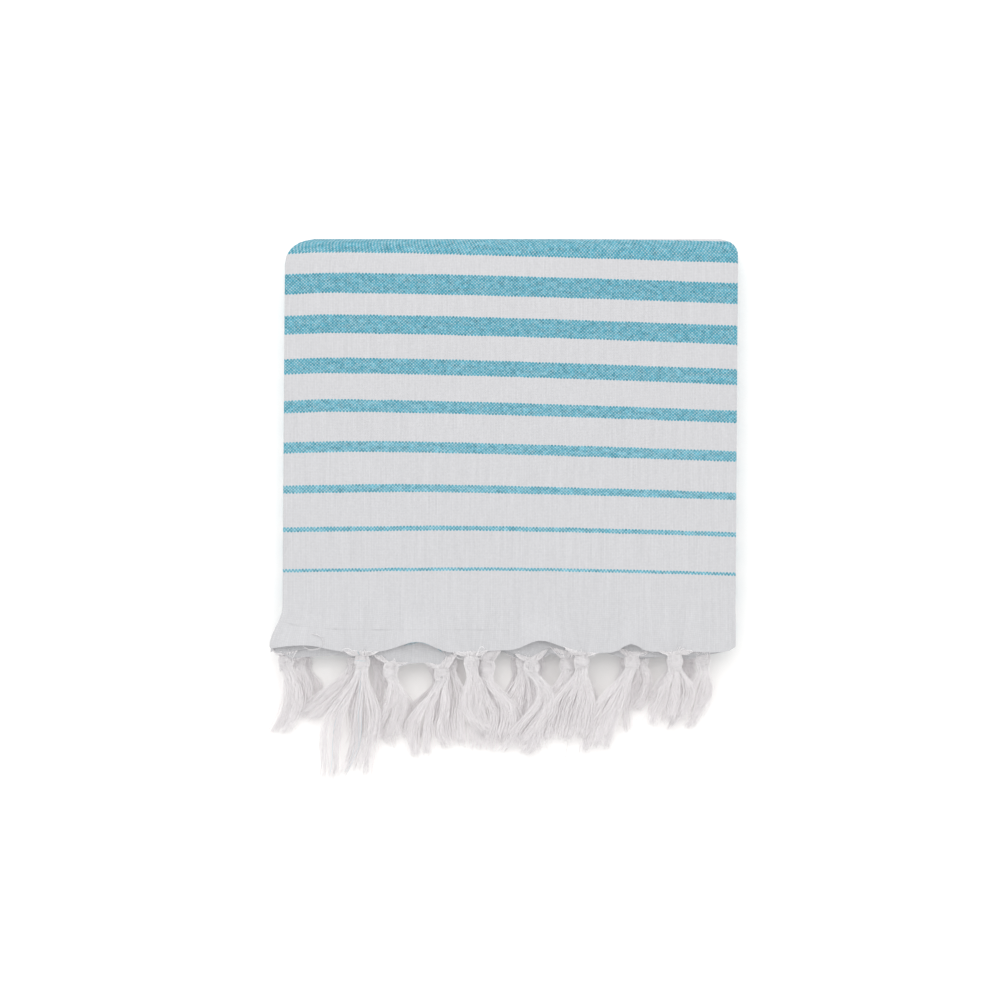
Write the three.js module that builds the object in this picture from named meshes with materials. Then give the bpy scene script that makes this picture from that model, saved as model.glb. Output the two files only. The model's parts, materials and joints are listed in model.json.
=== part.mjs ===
// A flat-woven cotton bath towel with a knotted fringe at each end, folded and lying flat.
// Millimetres, +Z up, the fringe towards -Y, the origin under the middle of the whole piece.
//
// The cloth is folded in four across its width, which makes a strip of four plies, called a pack
// here. The strip is then folded in half three times along its length, which makes eight packs.
// Panel 1 starts at one fringe and panel 8 ends at the other, and both fringes lie on top.
import * as THREE from "three";

// The folded towel in plan.
const FOLDED_WIDTH = 238;
const CLOTH_LEFT = -116.3;
const BACK_EDGE = 142;
const FRONT_FRINGE_A = -68.5; // woven edge of the end that lies on top
const FRONT_FRINGE_B = -72; // woven edge of the other end, just under it
const FRONT_UPPER_FOLD = -67;
const FRONT_LOWER_FOLD = -68;
const SIDEWAYS_LEAN = 0.007; // the sides lean a little to the right on the way to the back
const CORNER_RADIUS_LEFT = 16;
const CORNER_RADIUS_RIGHT = 9;

// The cloth and its plies.
const PLY_THICKNESS = 0.38;
const PLY_PITCH = 0.54;
const PLIES = 4;
const PACK_THICKNESS = (PLIES - 1) * PLY_PITCH + PLY_THICKNESS;
const PACK_PITCH = 2.25;
const PACKS = 8;
const STACK_HEIGHT = (PACKS - 1) * PACK_PITCH + PACK_THICKNESS;
const FOLD_SEAM = 0.2; // gap between a flat panel and the fold that carries on from it

// The hinge line of the last fold made. It runs along X at half the stack's height, and all four
// turns at the back go round it.
const HINGE_Y = BACK_EDGE - STACK_HEIGHT / 2 - FOLD_SEAM / 2;

// The fringe: each ply ends in four bunches of warp threads, each knotted near the cloth. Layer 0
// is the lowest. A bunch is [where its knot is, the knot's y, where its tips are, the tips' y],
// with the first and third measured across from the left.
const BUNCHES = [
  [[11, -82, 15, -103], [87, -83, 67, -122], [124, -82, 126, -127], [186, -81, 189, -105]],
  [[37, -81, 36, -126], [104, -83, 112, -126], [150, -81, 149, -118], [212, -80, 207, -110]],
  [[50, -80, 62, -128], [80, -82, 84, -126], [134, -81, 135, -125], [181, -80, 176, -119]],
  [[8, -79, 8, -112], [101, -81, 103, -130], [154, -80, 157, -121], [206, -79, 199, -113]],
  [[38, -79, 9, -113], [88, -81, 91, -127], [127, -80, 128, -128], [189, -78, 184, -107]],
  [[6, -80, 1, -118], [108, -83, 116, -128], [150, -82, 140, -123], [219, -79, 213, -116]],
  [[57, -84, 52, -124], [84, -87, 75, -132], [131, -83, 121, -131], [184, -80, 165, -130]],
  [[42, -80, 31, -142], [99.5, -80.5, 106, -119], [157.5, -80, 148, -124], [208.5, -79, 205, -115]],
];
const FAN_REACH = 13; // how far to each side of its knot a bunch's threads start
const KNOT_LENGTH = 7;
const KNOT_LEVEL = -80; // y where the layers are as far apart as the knots hold them
const FRINGE_TIPS = -142;
const SKIRT_START = 5; // beyond the knot's end
const KNOT_WIDTH = 9;
const KNOT_THICKNESS = 3.4;
const KNOT_LAYER_PITCH = 1.98;
const LOWEST_KNOT = 1.95;
const SKIRT_WIDTH = 13;
const TIP_LAYER_PITCH = 0.8;
const LOWEST_TIP = 0.5;
const THREAD_GAP = 0.3; // at the woven edge, to the next bunch or to the side of the cloth

// Facets.
const PROFILE_STEPS = 4;
const FOLD_STEPS = 8;
const TASSEL_SIDES = 8;

const cottonCloth = () =>
  new THREE.MeshStandardMaterial({ color: 0xdedee3, roughness: 0.92, metalness: 0 });
const fringeYarn = () =>
  new THREE.MeshStandardMaterial({ color: 0xe6e3e6, roughness: 0.88, metalness: 0 });

const mix = (a, b, t) => a + (b - a) * t;
const smooth = (t) => {
  const c = Math.min(Math.max(t, 0), 1);
  return c * c * (3 - 2 * c);
};

// How far a side is drawn in at y by its rounded back corner.
function cornerInset(y, radius) {
  const along = Math.min(Math.max(y - (BACK_EDGE - radius), 0), radius);
  return radius - Math.sqrt(radius * radius - along * along);
}

// Moves a point of the square-cornered cloth, across from 0 to FOLDED_WIDTH, to its place in X.
function placeAcross(across, y) {
  const left = CLOTH_LEFT + cornerInset(y, CORNER_RADIUS_LEFT);
  const right = CLOTH_LEFT + FOLDED_WIDTH - cornerInset(y, CORNER_RADIUS_RIGHT);
  const lean = SIDEWAYS_LEAN * (y - (BACK_EDGE + FRONT_FRINGE_A) / 2);
  return mix(left, right, across / FOLDED_WIDTH) + lean;
}

// Centre line of a clockwise half turn in the width: [across, height, normal across, normal height].
function turn(centreAcross, centreHeight, radius, from, to) {
  const points = [];
  for (let i = 0; i <= PROFILE_STEPS; i += 1) {
    const angle = mix(from, to, i / PROFILE_STEPS);
    const c = Math.cos(angle);
    const s = Math.sin(angle);
    points.push([centreAcross + radius * c, centreHeight + radius * s, c, s]);
  }
  return points;
}

// Outline of one pack across its width: both sides folded to the middle, then closed like a book.
// The spine is on the left, and the two selvedges end inside it. Heights are from the middle.
function packProfile() {
  const outer = 1.5 * PLY_PITCH;
  const inner = 0.5 * PLY_PITCH;
  const spine = outer + PLY_THICKNESS / 2;
  const right = FOLDED_WIDTH - inner - PLY_THICKNESS / 2;
  const selvedge = spine + 1;
  const half = Math.PI / 2;
  const path = [
    [selvedge, -inner, 0, 1],
    ...turn(right, -PLY_PITCH, inner, half, -half),
    ...turn(spine, 0, outer, -half, -3 * half),
    ...turn(right, PLY_PITCH, inner, half, -half),
    [selvedge, inner, 0, -1],
  ];
  const offset = (distance) =>
    path.map(([a, h, na, nh]) => new THREE.Vector2(a + na * distance, h + nh * distance));
  return [...offset(-PLY_THICKNESS / 2), ...offset(PLY_THICKNESS / 2).reverse()];
}

// Closed mesh through rings of points, each ring the same outline, capped by that outline's faces.
function throughRings(rings, outline, name, material) {
  const count = outline.length;
  const positions = rings.flat().flatMap((p) => [p.x, p.y, p.z]);
  const index = [];
  for (let r = 0; r + 1 < rings.length; r += 1) {
    for (let i = 0; i < count; i += 1) {
      const a = r * count + i;
      const b = r * count + ((i + 1) % count);
      index.push(a, b, b + count, a, b + count, a + count);
    }
  }
  const last = (rings.length - 1) * count;
  for (const [a, b, c] of THREE.ShapeUtils.triangulateShape(outline, [])) {
    index.push(a, c, b, last + a, last + b, last + c);
  }
  const geometry = new THREE.BufferGeometry();
  geometry.setAttribute("position", new THREE.Float32BufferAttribute(positions, 3));
  geometry.setIndex(index);
  if (signedVolume(geometry) < 0) {
    geometry.setIndex(index.reverse());
  }
  geometry.computeVertexNormals();
  const mesh = new THREE.Mesh(geometry, material);
  mesh.name = name;
  return mesh;
}

function signedVolume(geometry) {
  const p = geometry.getAttribute("position");
  const index = geometry.getIndex().array;
  const corner = (i) => new THREE.Vector3().fromBufferAttribute(p, index[i]);
  let volume = 0;
  for (let i = 0; i < index.length; i += 3) {
    volume += corner(i).dot(corner(i + 1).cross(corner(i + 2))) / 6;
  }
  return volume;
}

// Sweeps the pack's profile through stations [y, z, normal y, normal z].
function packThrough(stations, name) {
  const profile = packProfile();
  const rings = stations.map(([y, z, ny, nz]) =>
    profile.map((p) => {
      const py = y + p.y * ny;
      return new THREE.Vector3(placeAcross(p.x, py), py, z + p.y * nz);
    }),
  );
  return throughRings(rings, profile, name, cottonCloth());
}

const packHeight = (level) => level * PACK_PITCH + PACK_THICKNESS / 2;

// One flat panel of four plies. It has extra rings near the back, where the corners are round.
function panel(number, level, front) {
  const z = packHeight(level);
  const back = HINGE_Y - FOLD_SEAM / 2;
  const ys = [front, BACK_EDGE - CORNER_RADIUS_LEFT, BACK_EDGE - CORNER_RADIUS_RIGHT - 3, back];
  return packThrough(
    ys.map((y) => [y, z, 0, 1]),
    `panel_${number}`,
  );
}

// Half a turn along the length that joins two levels. Side 1 is the back and -1 the front.
function fold(name, lowerLevel, upperLevel, axisY, side) {
  const axisZ = (packHeight(lowerLevel) + packHeight(upperLevel)) / 2;
  const radius = (packHeight(upperLevel) - packHeight(lowerLevel)) / 2;
  const stations = [];
  for (let i = 0; i <= FOLD_STEPS; i += 1) {
    const angle = mix(-Math.PI / 2, Math.PI / 2, i / FOLD_STEPS);
    const ny = side * Math.cos(angle);
    const nz = Math.sin(angle);
    stations.push([axisY + radius * ny + (side * FOLD_SEAM) / 2, axisZ + radius * nz, ny, nz]);
  }
  return packThrough(stations, name);
}

// Where a front fold's axis is when the fold's outside just reaches the given edge.
const frontAxis = (edge, levelsApart) =>
  edge + (levelsApart * PACK_PITCH) / 2 + PACK_THICKNESS / 2 + FOLD_SEAM / 2;

// Height of a layer of the fringe at y. Layers 0 to 3 belong to the end that lies lower, and
// layers 4 to 7 to the end on top.
function layerHeight(layer, y) {
  const ply = ((layer % PLIES) - 1.5) * PLY_PITCH;
  const atEdge = packHeight(layer < PLIES ? 6 : 7) + ply;
  const atKnot = LOWEST_KNOT + layer * KNOT_LAYER_PITCH;
  const atTip = LOWEST_TIP + layer * TIP_LAYER_PITCH;
  const toKnot = smooth((FRONT_FRINGE_B - y) / (FRONT_FRINGE_B - KNOT_LEVEL));
  const toTip = smooth((KNOT_LEVEL - y) / (KNOT_LEVEL - FRINGE_TIPS));
  return mix(mix(atEdge, atKnot, toKnot), atTip, toTip);
}

// One bunch of warp threads: a fan from the woven edge, a flattened knot, then a loose skirt.
// Each ring is [y, left, right, thickness], with left and right measured across.
function tasselRings(layer, number, fanLeft, fanRight) {
  const [knot, middle, tipAcross, tip] = BUNCHES[layer][number];
  const edge = layer < PLIES ? FRONT_FRINGE_B : FRONT_FRINGE_A;
  const half = KNOT_WIDTH / 2;
  const start = middle + KNOT_LENGTH / 2;
  const end = middle - KNOT_LENGTH / 2;
  const fan = (t, thickness) => [
    mix(edge - THREAD_GAP, start, t),
    mix(fanLeft, knot - half * 0.8, Math.sqrt(t)),
    mix(fanRight, knot + half * 0.8, Math.sqrt(t)),
    thickness,
  ];
  const tied = (t, width, thickness) => [
    mix(start, end, t),
    knot - half * width,
    knot + half * width,
    KNOT_THICKNESS * thickness,
  ];
  const skirt = (t, thickness) => {
    const centre = mix(knot, tipAcross, t);
    const wide = mix(half * 0.8, SKIRT_WIDTH / 2, smooth(t * 1.6));
    return [mix(end - SKIRT_START, tip, t), centre - wide, centre + wide, thickness];
  };
  return [
    fan(0, PLY_THICKNESS * 0.9),
    fan(0.3, 0.4),
    fan(0.65, 0.55),
    fan(1, 1.3),
    tied(0.2, 0.95, 0.85),
    tied(0.5, 1, 1),
    tied(0.8, 0.9, 0.8),
    tied(1, 0.65, 0.55),
    skirt(0, 1.55),
    skirt(0.25, 1.4),
    skirt(0.5, 1.2),
    skirt(0.75, 0.85),
    skirt(1, 0.6),
  ];
}

function tassel(layer, number, fanLeft, fanRight) {
  const outline = [];
  for (let i = 0; i < TASSEL_SIDES; i += 1) {
    const angle = (2 * Math.PI * (i + 0.5)) / TASSEL_SIDES;
    outline.push(new THREE.Vector2(Math.cos(angle), Math.sin(angle)));
  }
  const rings = tasselRings(layer, number, fanLeft, fanRight).map(([y, left, right, thickness]) =>
    outline.map((p) => {
      const across = mix(left, right, (p.x + 1) / 2);
      const z = layerHeight(layer, y) + (p.y * thickness) / 2;
      return new THREE.Vector3(placeAcross(across, y), y, z);
    }),
  );
  const end = layer < PLIES ? "b" : "a";
  const name = `tassel_${end}${(layer % PLIES) + 1}_${number + 1}`;
  return throughRings(rings, outline, name, fringeYarn());
}

// All the bunches at the end of one ply. Where two are close, their fans share the edge between.
function plyFringe(layer) {
  const knots = BUNCHES[layer].map(([knot]) => knot);
  const share = (a, b) => (a + b) / 2;
  return knots.map((knot, i) => {
    const left = i === 0 ? 0 : share(knots[i - 1], knot);
    const right = i === knots.length - 1 ? FOLDED_WIDTH : share(knot, knots[i + 1]);
    const fanLeft = Math.max(left + THREAD_GAP, knot - FAN_REACH);
    const fanRight = Math.min(right - THREAD_GAP, knot + FAN_REACH);
    return tassel(layer, i, fanLeft, fanRight);
  });
}

function lowerStack() {
  const front = frontAxis(FRONT_LOWER_FOLD, 3);
  return [
    panel(2, 0, front),
    panel(7, 1, front),
    panel(6, 2, front),
    panel(3, 3, front),
    fold("front_fold_6_7", 1, 2, front, -1),
    fold("front_fold_2_3", 0, 3, front, -1),
  ];
}

function upperStack() {
  const front = frontAxis(FRONT_UPPER_FOLD, 1);
  return [
    panel(4, 4, front),
    panel(5, 5, front),
    panel(8, 6, FRONT_FRINGE_B),
    panel(1, 7, FRONT_FRINGE_A),
    fold("front_fold_4_5", 4, 5, front, -1),
  ];
}

// The four turns at the back lie one inside another, all round the hinge line.
function backFolds() {
  return [
    fold("back_fold_3_4", 3, 4, HINGE_Y, 1),
    fold("back_fold_5_6", 2, 5, HINGE_Y, 1),
    fold("back_fold_7_8", 1, 6, HINGE_Y, 1),
    fold("back_fold_1_2", 0, 7, HINGE_Y, 1),
  ];
}

function fringes() {
  return BUNCHES.flatMap((_, layer) => plyFringe(layer));
}

const towel = new THREE.Group();
towel.name = "folded_bath_towel";
towel.add(...lowerStack(), ...upperStack(), ...backFolds(), ...fringes());

export default towel;
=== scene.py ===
"""The looks of a folded striped bath towel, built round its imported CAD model.

Metres, +Z up, the fringe towards -Y, the origin under the middle of the towel.

The towel is one woven cloth. It is folded in four across its width, and the strip of four plies
that this makes is folded in half three times along its length. A point of the cloth is known by
u, the distance across the flat cloth, and v, the distance along it from the woven end on top.
"""

import json
import math

import bpy
import numpy as np
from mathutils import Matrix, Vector


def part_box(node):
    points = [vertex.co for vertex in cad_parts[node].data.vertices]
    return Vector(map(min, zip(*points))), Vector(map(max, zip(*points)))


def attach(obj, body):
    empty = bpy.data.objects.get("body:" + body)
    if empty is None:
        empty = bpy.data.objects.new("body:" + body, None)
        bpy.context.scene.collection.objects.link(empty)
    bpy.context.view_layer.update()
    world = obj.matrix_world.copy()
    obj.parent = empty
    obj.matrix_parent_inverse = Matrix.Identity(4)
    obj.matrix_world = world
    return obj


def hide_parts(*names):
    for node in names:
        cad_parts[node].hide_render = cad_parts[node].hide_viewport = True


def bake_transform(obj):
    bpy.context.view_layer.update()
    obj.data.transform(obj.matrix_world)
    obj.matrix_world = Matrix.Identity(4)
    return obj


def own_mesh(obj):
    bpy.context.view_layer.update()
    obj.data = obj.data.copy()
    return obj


MM = 0.001

# The folded cloth and its plies, as the CAD has them.
FOLDED_WIDTH = 238 * MM
CLOTH_LEFT = -116.3 * MM
SIDEWAYS_LEAN = 0.007
CORNER_RADIUS_LEFT = 13.5 * MM
CORNER_RADIUS_RIGHT = 8 * MM
PLY_THICKNESS = 0.38 * MM
PLY_PITCH = 0.54 * MM
PLIES = 4
SELVEDGE_GAP = 1 * MM

# The weave, drawn about a third coarser than it is so that it shows, and its stripes, measured
# from each woven end.
WARP_PITCH = 0.87 * MM
WEFT_PITCH = 0.81 * MM
FIRST_STRIPE = 37.1 * MM
STRIPE_PITCH = 21.48 * MM
NARROWEST_STRIPE = 1.3 * MM
STRIPE_GROWTH = 1.35 * MM
WIDEST_STRIPE = 12 * MM

# The fringe. Layers 0 to 3 belong to the end that lies lower, and 4 to 7 to the end on top.
LAYERS = 2 * PLIES
LOW_MIDDLE = (PLIES - 1) / 2
TOP_MIDDLE = PLIES + LOW_MIDDLE

# How each bunch of a layer lies, in millimetres and from the left: the knot's place across and
# its y, the tip's place across and its y, half the spread near the tip, the bend and the curl.
BUNCHES = {
    7: (
        (42, -80, 31, -144, 14, 1, 0.5),
        (99.5, -80.5, 106, -119, 4.5, -3, 1),
        (157.5, -80, 148, -124, 11, 0, 0.6),
        (206.5, -79.5, 203, -115, 8, 2, 0.3),
    ),
    6: (
        (57, -84, 52, -124, 8, 3, 1),
        (84, -87, 75, -132, 9, -4, 0.6),
        (131, -83, 121, -131, 8, 8, 6),
        (184, -80, 165, -130, 6.5, -3, 0.4),
    ),
    5: (
        (1.5, -80, -2, -119, 5, 6, 0.5),
        (108, -83, 116, -128, 9, 5, -4),
        (150, -82, 140, -123, 10, 0, 1),
        (221.5, -79, 210.5, -117, 7, 5, 0.5),
    ),
    4: (
        (38, -79, 9, -113, 8, 2, 1),
        (88, -81, 91, -127, 9, 2, 1),
        (127, -80, 128, -128, 9, -2, 2),
        (189, -78, 184, -107, 4, 4, 0.5),
    ),
    3: (
        (8, -79, 8, -112, 8, 1, 1),
        (101, -81, 103, -130, 9, 0, 2),
        (154, -80, 157, -121, 9, 2, 1),
        (206, -79, 199, -113, 8, 1, 0.5),
    ),
    2: (
        (50, -80, 62, -128, 10, 0, 1),
        (80, -82, 84, -126, 9, 2, 1),
        (134, -81, 135, -125, 9, 0, -2),
        (181, -80, 176, -119, 7, -1, 1),
    ),
    1: (
        (37, -81, 36, -126, 10, -1, 1),
        (104, -83, 112, -126, 9, -1, 2),
        (150, -81, 149, -118, 9, 1, 1),
        (214, -80, 209, -111, 9, 1, 1),
    ),
    0: (
        (11, -82, 15, -103, 8, 0, 1),
        (87, -83, 67, -122, 9, 0, 1),
        (124, -82, 126, -127, 9, 1, 1),
        (186, -81, 189, -105, 7, 0, 1),
    ),
}

# The picture: its width and its middle, both at the top of the towel, and the camera above it.
PICTURE_WIDTH = 525 * MM
PICTURE_CENTRE = (-2.6 * MM, 5.0 * MM)
CAMERA_DISTANCE = 1.4
SENSOR_WIDTH = 36

# The surroundings.
FLOOR_HALF_WIDTH = 3.0
FLOOR_DEPTH = 0.1 * MM
FLOOR_GLOW = 0.10
ROOM_BRIGHTNESS = 0.98
SOFTBOX_SIZE = 1.4
SOFTBOX_WATTS = 7.7
SOFTBOX_PLACE = (-0.15, 0.85, 1.2)
SOFTBOX_AIM = (0, 0.03, 0)

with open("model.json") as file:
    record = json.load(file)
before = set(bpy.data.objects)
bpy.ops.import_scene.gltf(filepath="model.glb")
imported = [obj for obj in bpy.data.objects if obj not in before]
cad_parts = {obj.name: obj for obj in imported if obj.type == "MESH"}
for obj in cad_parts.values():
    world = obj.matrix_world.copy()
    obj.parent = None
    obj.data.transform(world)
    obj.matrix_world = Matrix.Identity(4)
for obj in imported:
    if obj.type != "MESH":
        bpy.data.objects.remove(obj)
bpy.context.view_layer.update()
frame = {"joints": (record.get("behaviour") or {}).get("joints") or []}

HINGE = Vector(frame["joints"][0]["pos_m"])
BACK_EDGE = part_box("back_fold_1_2")[1].y
WOVEN_END_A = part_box("panel_1")[0].y
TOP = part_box("panel_1")[1].z


# Small helpers.


def mix(a, b, t):
    return a + (b - a) * t


def smooth(t):
    t = np.clip(t, 0, 1)
    return t * t * (3 - 2 * t)


def bell(x, centre, width):
    return np.exp(-(((x - centre) / width) ** 2))


def ripples(x, y, wavelength, seed):
    """A smooth uneven field from about -1 to 1, the same for the same seed."""
    rng = np.random.default_rng(seed)
    total = 0
    for _ in range(6):
        heading, phase = rng.uniform(0, 2 * math.pi, 2)
        per_metre = 2 * math.pi / (wavelength * rng.uniform(0.7, 1.6))
        forward = x * math.cos(heading) + y * math.sin(heading)
        total = total + np.sin(per_metre * forward + phase)
    return total / 3


# The camera, the floor and the light.


def make_camera():
    data = bpy.data.cameras.new("camera")
    data.sensor_width = SENSOR_WIDTH
    data.lens = SENSOR_WIDTH * CAMERA_DISTANCE / PICTURE_WIDTH
    data.clip_start = 0.01
    camera = bpy.data.objects.new("camera", data)
    camera.location = (*PICTURE_CENTRE, TOP + CAMERA_DISTANCE)
    bpy.context.scene.collection.objects.link(camera)
    bpy.context.scene.camera = camera


def make_floor():
    half = FLOOR_HALF_WIDTH
    corners = [(-half, -half, 0), (half, -half, 0), (half, half, 0), (-half, half, 0)]
    mesh = bpy.data.meshes.new("floor")
    mesh.from_pydata(corners, [], [(0, 1, 2, 3)])
    floor = bpy.data.objects.new("floor", mesh)
    floor.location.z = -FLOOR_DEPTH
    bpy.context.scene.collection.objects.link(floor)
    material = bpy.data.materials.new("pale_floor")
    material.use_nodes = True
    shader = material.node_tree.nodes["Principled BSDF"]
    shader.inputs["Base Color"].default_value = (0.95, 0.94, 0.93, 1)
    shader.inputs["Roughness"].default_value = 1.0
    shader.inputs["Specular IOR Level"].default_value = 0.0
    shader.inputs["Emission Color"].default_value = (1.0, 0.975, 0.95, 1)
    shader.inputs["Emission Strength"].default_value = FLOOR_GLOW
    mesh.materials.append(material)


def make_light():
    world = bpy.data.worlds.new("soft_room")
    bpy.context.scene.world = world
    world.use_nodes = True
    background = world.node_tree.nodes["Background"]
    background.inputs["Color"].default_value = (1, 1, 1, 1)
    background.inputs["Strength"].default_value = ROOM_BRIGHTNESS
    data = bpy.data.lights.new("softbox", "AREA")
    data.shape = "SQUARE"
    data.size = SOFTBOX_SIZE
    data.energy = SOFTBOX_WATTS
    softbox = bpy.data.objects.new("softbox", data)
    softbox.location = SOFTBOX_PLACE
    towards = Vector(SOFTBOX_AIM) - softbox.location
    softbox.rotation_euler = towards.to_track_quat("-Z", "Y").to_euler()
    bpy.context.scene.collection.objects.link(softbox)
    bpy.context.scene.view_settings.view_transform = "Standard"


# How the cloth lies. A section runs across it and a line runs along it.


def arc(count):
    """Angles of half a turn, from 0 to pi."""
    return np.linspace(0, math.pi, count + 1)


def cloth_section(step, turn_steps):
    """The strip's section: u, the place across from the left, and the height, for each column."""
    outer = 1.5 * PLY_PITCH
    inner = 0.5 * PLY_PITCH
    spine = outer + PLY_THICKNESS / 2
    right = FOLDED_WIDTH - inner - PLY_THICKNESS / 2
    selvedge = spine + SELVEDGE_GAP
    count = round((right - selvedge) / step)
    a = arc(turn_steps)[1:-1]
    stretches = [
        (np.linspace(selvedge, right, count), np.full(count, -inner)),
        (right + inner * np.sin(a), -PLY_PITCH + inner * np.cos(a)),
        (np.linspace(right, spine, count), np.full(count, -outer)),
        (spine - outer * np.sin(a), -outer * np.cos(a)),
        (np.linspace(spine, right, count), np.full(count, outer)),
        (right + inner * np.sin(a), PLY_PITCH + inner * np.cos(a)),
        (np.linspace(right, selvedge, count), np.full(count, inner)),
    ]
    across = np.concatenate([s[0] for s in stretches])
    height = np.concatenate([s[1] for s in stretches])
    u = np.concatenate([[0], np.cumsum(np.hypot(np.diff(across), np.diff(height)))])
    return u, across, height


def panel_z(number):
    """The height of the middle of a panel's four plies."""
    low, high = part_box(f"panel_{number}")
    return (low.z + high.z) / 2


def panel_front(number):
    """The y of a panel's front end."""
    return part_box(f"panel_{number}")[0].y


def panel_line(number, steps):
    """Stations of a flat panel: distance along it, y, z and the normal's y and z."""
    count = len(steps)
    z = np.full(count, panel_z(number))
    front = panel_front(number)
    if number % 2:
        return np.array([steps, front + steps, z, np.zeros(count), np.ones(count)])
    return np.array([steps, HINGE.y - steps, z, np.zeros(count), -np.ones(count)])


def fold_line(number, count):
    """Stations of the turn between a panel and the next one, with both its ends."""
    here = panel_z(number)
    there = panel_z(number + 1)
    radius = abs(here - there) / 2
    start = math.copysign(1, here - there)
    side = 1 if number % 2 else -1
    axis_y = HINGE.y if number % 2 else panel_front(number)
    outward = start * side
    angle = arc(count)
    bulge = np.sin(angle) * side
    rise = np.cos(angle) * start
    return np.array(
        [
            angle * radius,
            axis_y + radius * bulge,
            (here + there) / 2 + radius * rise,
            outward * bulge,
            outward * rise,
        ]
    )


def panel_length(number):
    return HINGE.y - panel_front(number)


def fold_length(number):
    """Length of the turn between a panel and the next one."""
    return math.pi * abs(panel_z(number) - panel_z(number + 1)) / 2


def start_of_panel(number):
    """Distance along the cloth at which a panel starts."""
    return sum(panel_length(n) + fold_length(n) for n in range(1, number))


# The flat cloth, and how far its shaped part reaches from a woven end.
CLOTH_LENGTH = start_of_panel(8) + panel_length(8)
SHAPED_REACH = 36 * MM


def even_steps(start, end, step):
    return np.linspace(start, end, round((end - start) / step) + 1)


def panel_steps(number, step, fine=None):
    """Distances along a panel, closer together near a woven end where fine is given."""
    length = panel_length(number)
    if fine is None:
        return even_steps(0, length, step)
    near = even_steps(0, SHAPED_REACH, fine)
    far = even_steps(SHAPED_REACH, length, step)
    steps = np.concatenate([near[:-1], far])
    return steps if number == 1 else length - steps[::-1]


def stretch(first, last, steps_of, fold_steps):
    """Stations from the start of one panel to the end of another, through the turn between."""
    lines = []
    for number in range(first, last + 1):
        line = panel_line(number, steps_of[number])
        line[0] += start_of_panel(number)
        lines.append(line)
        if number < last:
            turn = fold_line(number, fold_steps)[:, 1:-1]
            turn[0] += start_of_panel(number) + panel_length(number)
            lines.append(turn)
    return np.concatenate(lines, axis=1)


def front_turn(number, fold_steps):
    """Stations of the turn at the front after a panel."""
    turn = fold_line(number, fold_steps)
    turn[0] += start_of_panel(number) + panel_length(number)
    return turn


# The shape that hands gave the folded cloth: uneven folds, a scalloped woven edge, soft dents.

FRONT_REACH = 35 * MM
FRONT_UNEVENNESS = 0.9 * MM
BACK_BULGE = 1.0 * MM
SIDE_INSET = 0.9 * MM
SIDE_UNEVENNESS = 0.5 * MM
SIDE_DRIFT = 0.4 * MM
SWELL_HEIGHT = 0.28 * MM
FINE_ROW_HEIGHT = 0.10 * MM
LOWEST_LIP = 6.3 * MM
LIP_REACH = 24 * MM
LIFT_REACH = 18 * MM
PULL_REACH = 11 * MM
ARCH_LIFT = 3.8 * MM
DROOP = 0.6 * MM
LAYER_SINK = 0.3 * MM
LEFT_FLARE = 7.0 * MM
LEFT_FLARE_REACH = 15 * MM
RIGHT_ROUND = 4.2 * MM
RIGHT_ROUND_REACH = 8.5 * MM

# Arches of the top woven edge: centre and half width across, and rise, in millimetres. Aprons are
# where the ply under it hangs out further: centre and width across, and reach.
TOP_ARCHES = ((12, 20, 3.5), (71, 18, 6.4), (136, 18, 6.0), (183, 9, 4.8))
APRONS = ((69, 18, 12), (120, 16, 4))


def knots_of(layer):
    """The places across of a layer's knots."""
    return np.array([bunch[0] for bunch in BUNCHES[layer]]) * MM


def arch(across, centre, half_width, rise):
    """One arch of a woven edge between two knots."""
    t = np.clip(np.abs(across / MM - centre) / half_width, 0, 1)
    return rise * MM * np.cos(t * math.pi / 2) ** 2


def edge_arches(layer):
    """The arches of a layer's woven edge, listed as TOP_ARCHES is."""
    if layer == LAYERS - 1:
        return TOP_ARCHES
    knots = knots_of(layer) / MM
    middles = (knots[1:] + knots[:-1]) / 2
    halves = (knots[1:] - knots[:-1]) / 2
    ends = [(0, knots[0], 4), (FOLDED_WIDTH / MM, FOLDED_WIDTH / MM - knots[-1], 3)]
    return [(m, h, 6.0) for m, h in zip(middles, halves)] + ends


def from_nearest_knot(layer, across):
    """How far to the right of the nearest knot of a layer a place is."""
    knots = knots_of(layer)
    return across - knots[np.argmin(np.abs(across[..., None] - knots), axis=-1)]


def woven_edge_shift(layer, across):
    """How far a layer's woven edge is moved from its straight line: x, y and z."""
    rise = sum(arch(across, *numbers) for numbers in edge_arches(layer))
    droop = np.clip(1 - rise / (5 * MM), 0, 1)
    away = from_nearest_knot(layer, across)
    x = -0.5 * away * bell(away, 0, PULL_REACH)
    y = rise - LOWEST_LIP
    z = -DROOP * droop
    if layer == LAYERS - 1:
        z = z + ARCH_LIFT * (1 - droop)
    else:
        z = z - LAYER_SINK * (LAYERS - 1 - layer)
    if layer == LAYERS - 2:
        apron = sum(far * MM * bell(across, centre * MM, width * MM) for centre, width, far in APRONS)
        y = y - apron
        z = z - 0.2 * apron - 1.2 * MM
    y = y + 0.6 * MM * ripples(across, 0, 23 * MM, 60 + layer)
    past = np.clip(1 - (FOLDED_WIDTH - across) / RIGHT_ROUND_REACH, 0, 1)
    y = y + RIGHT_ROUND * (1 - np.sqrt(1 - past**2))
    x = x - LEFT_FLARE * np.exp(-across / LEFT_FLARE_REACH) + 0.4 * MM * past
    return np.stack([x, y, z])


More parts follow.
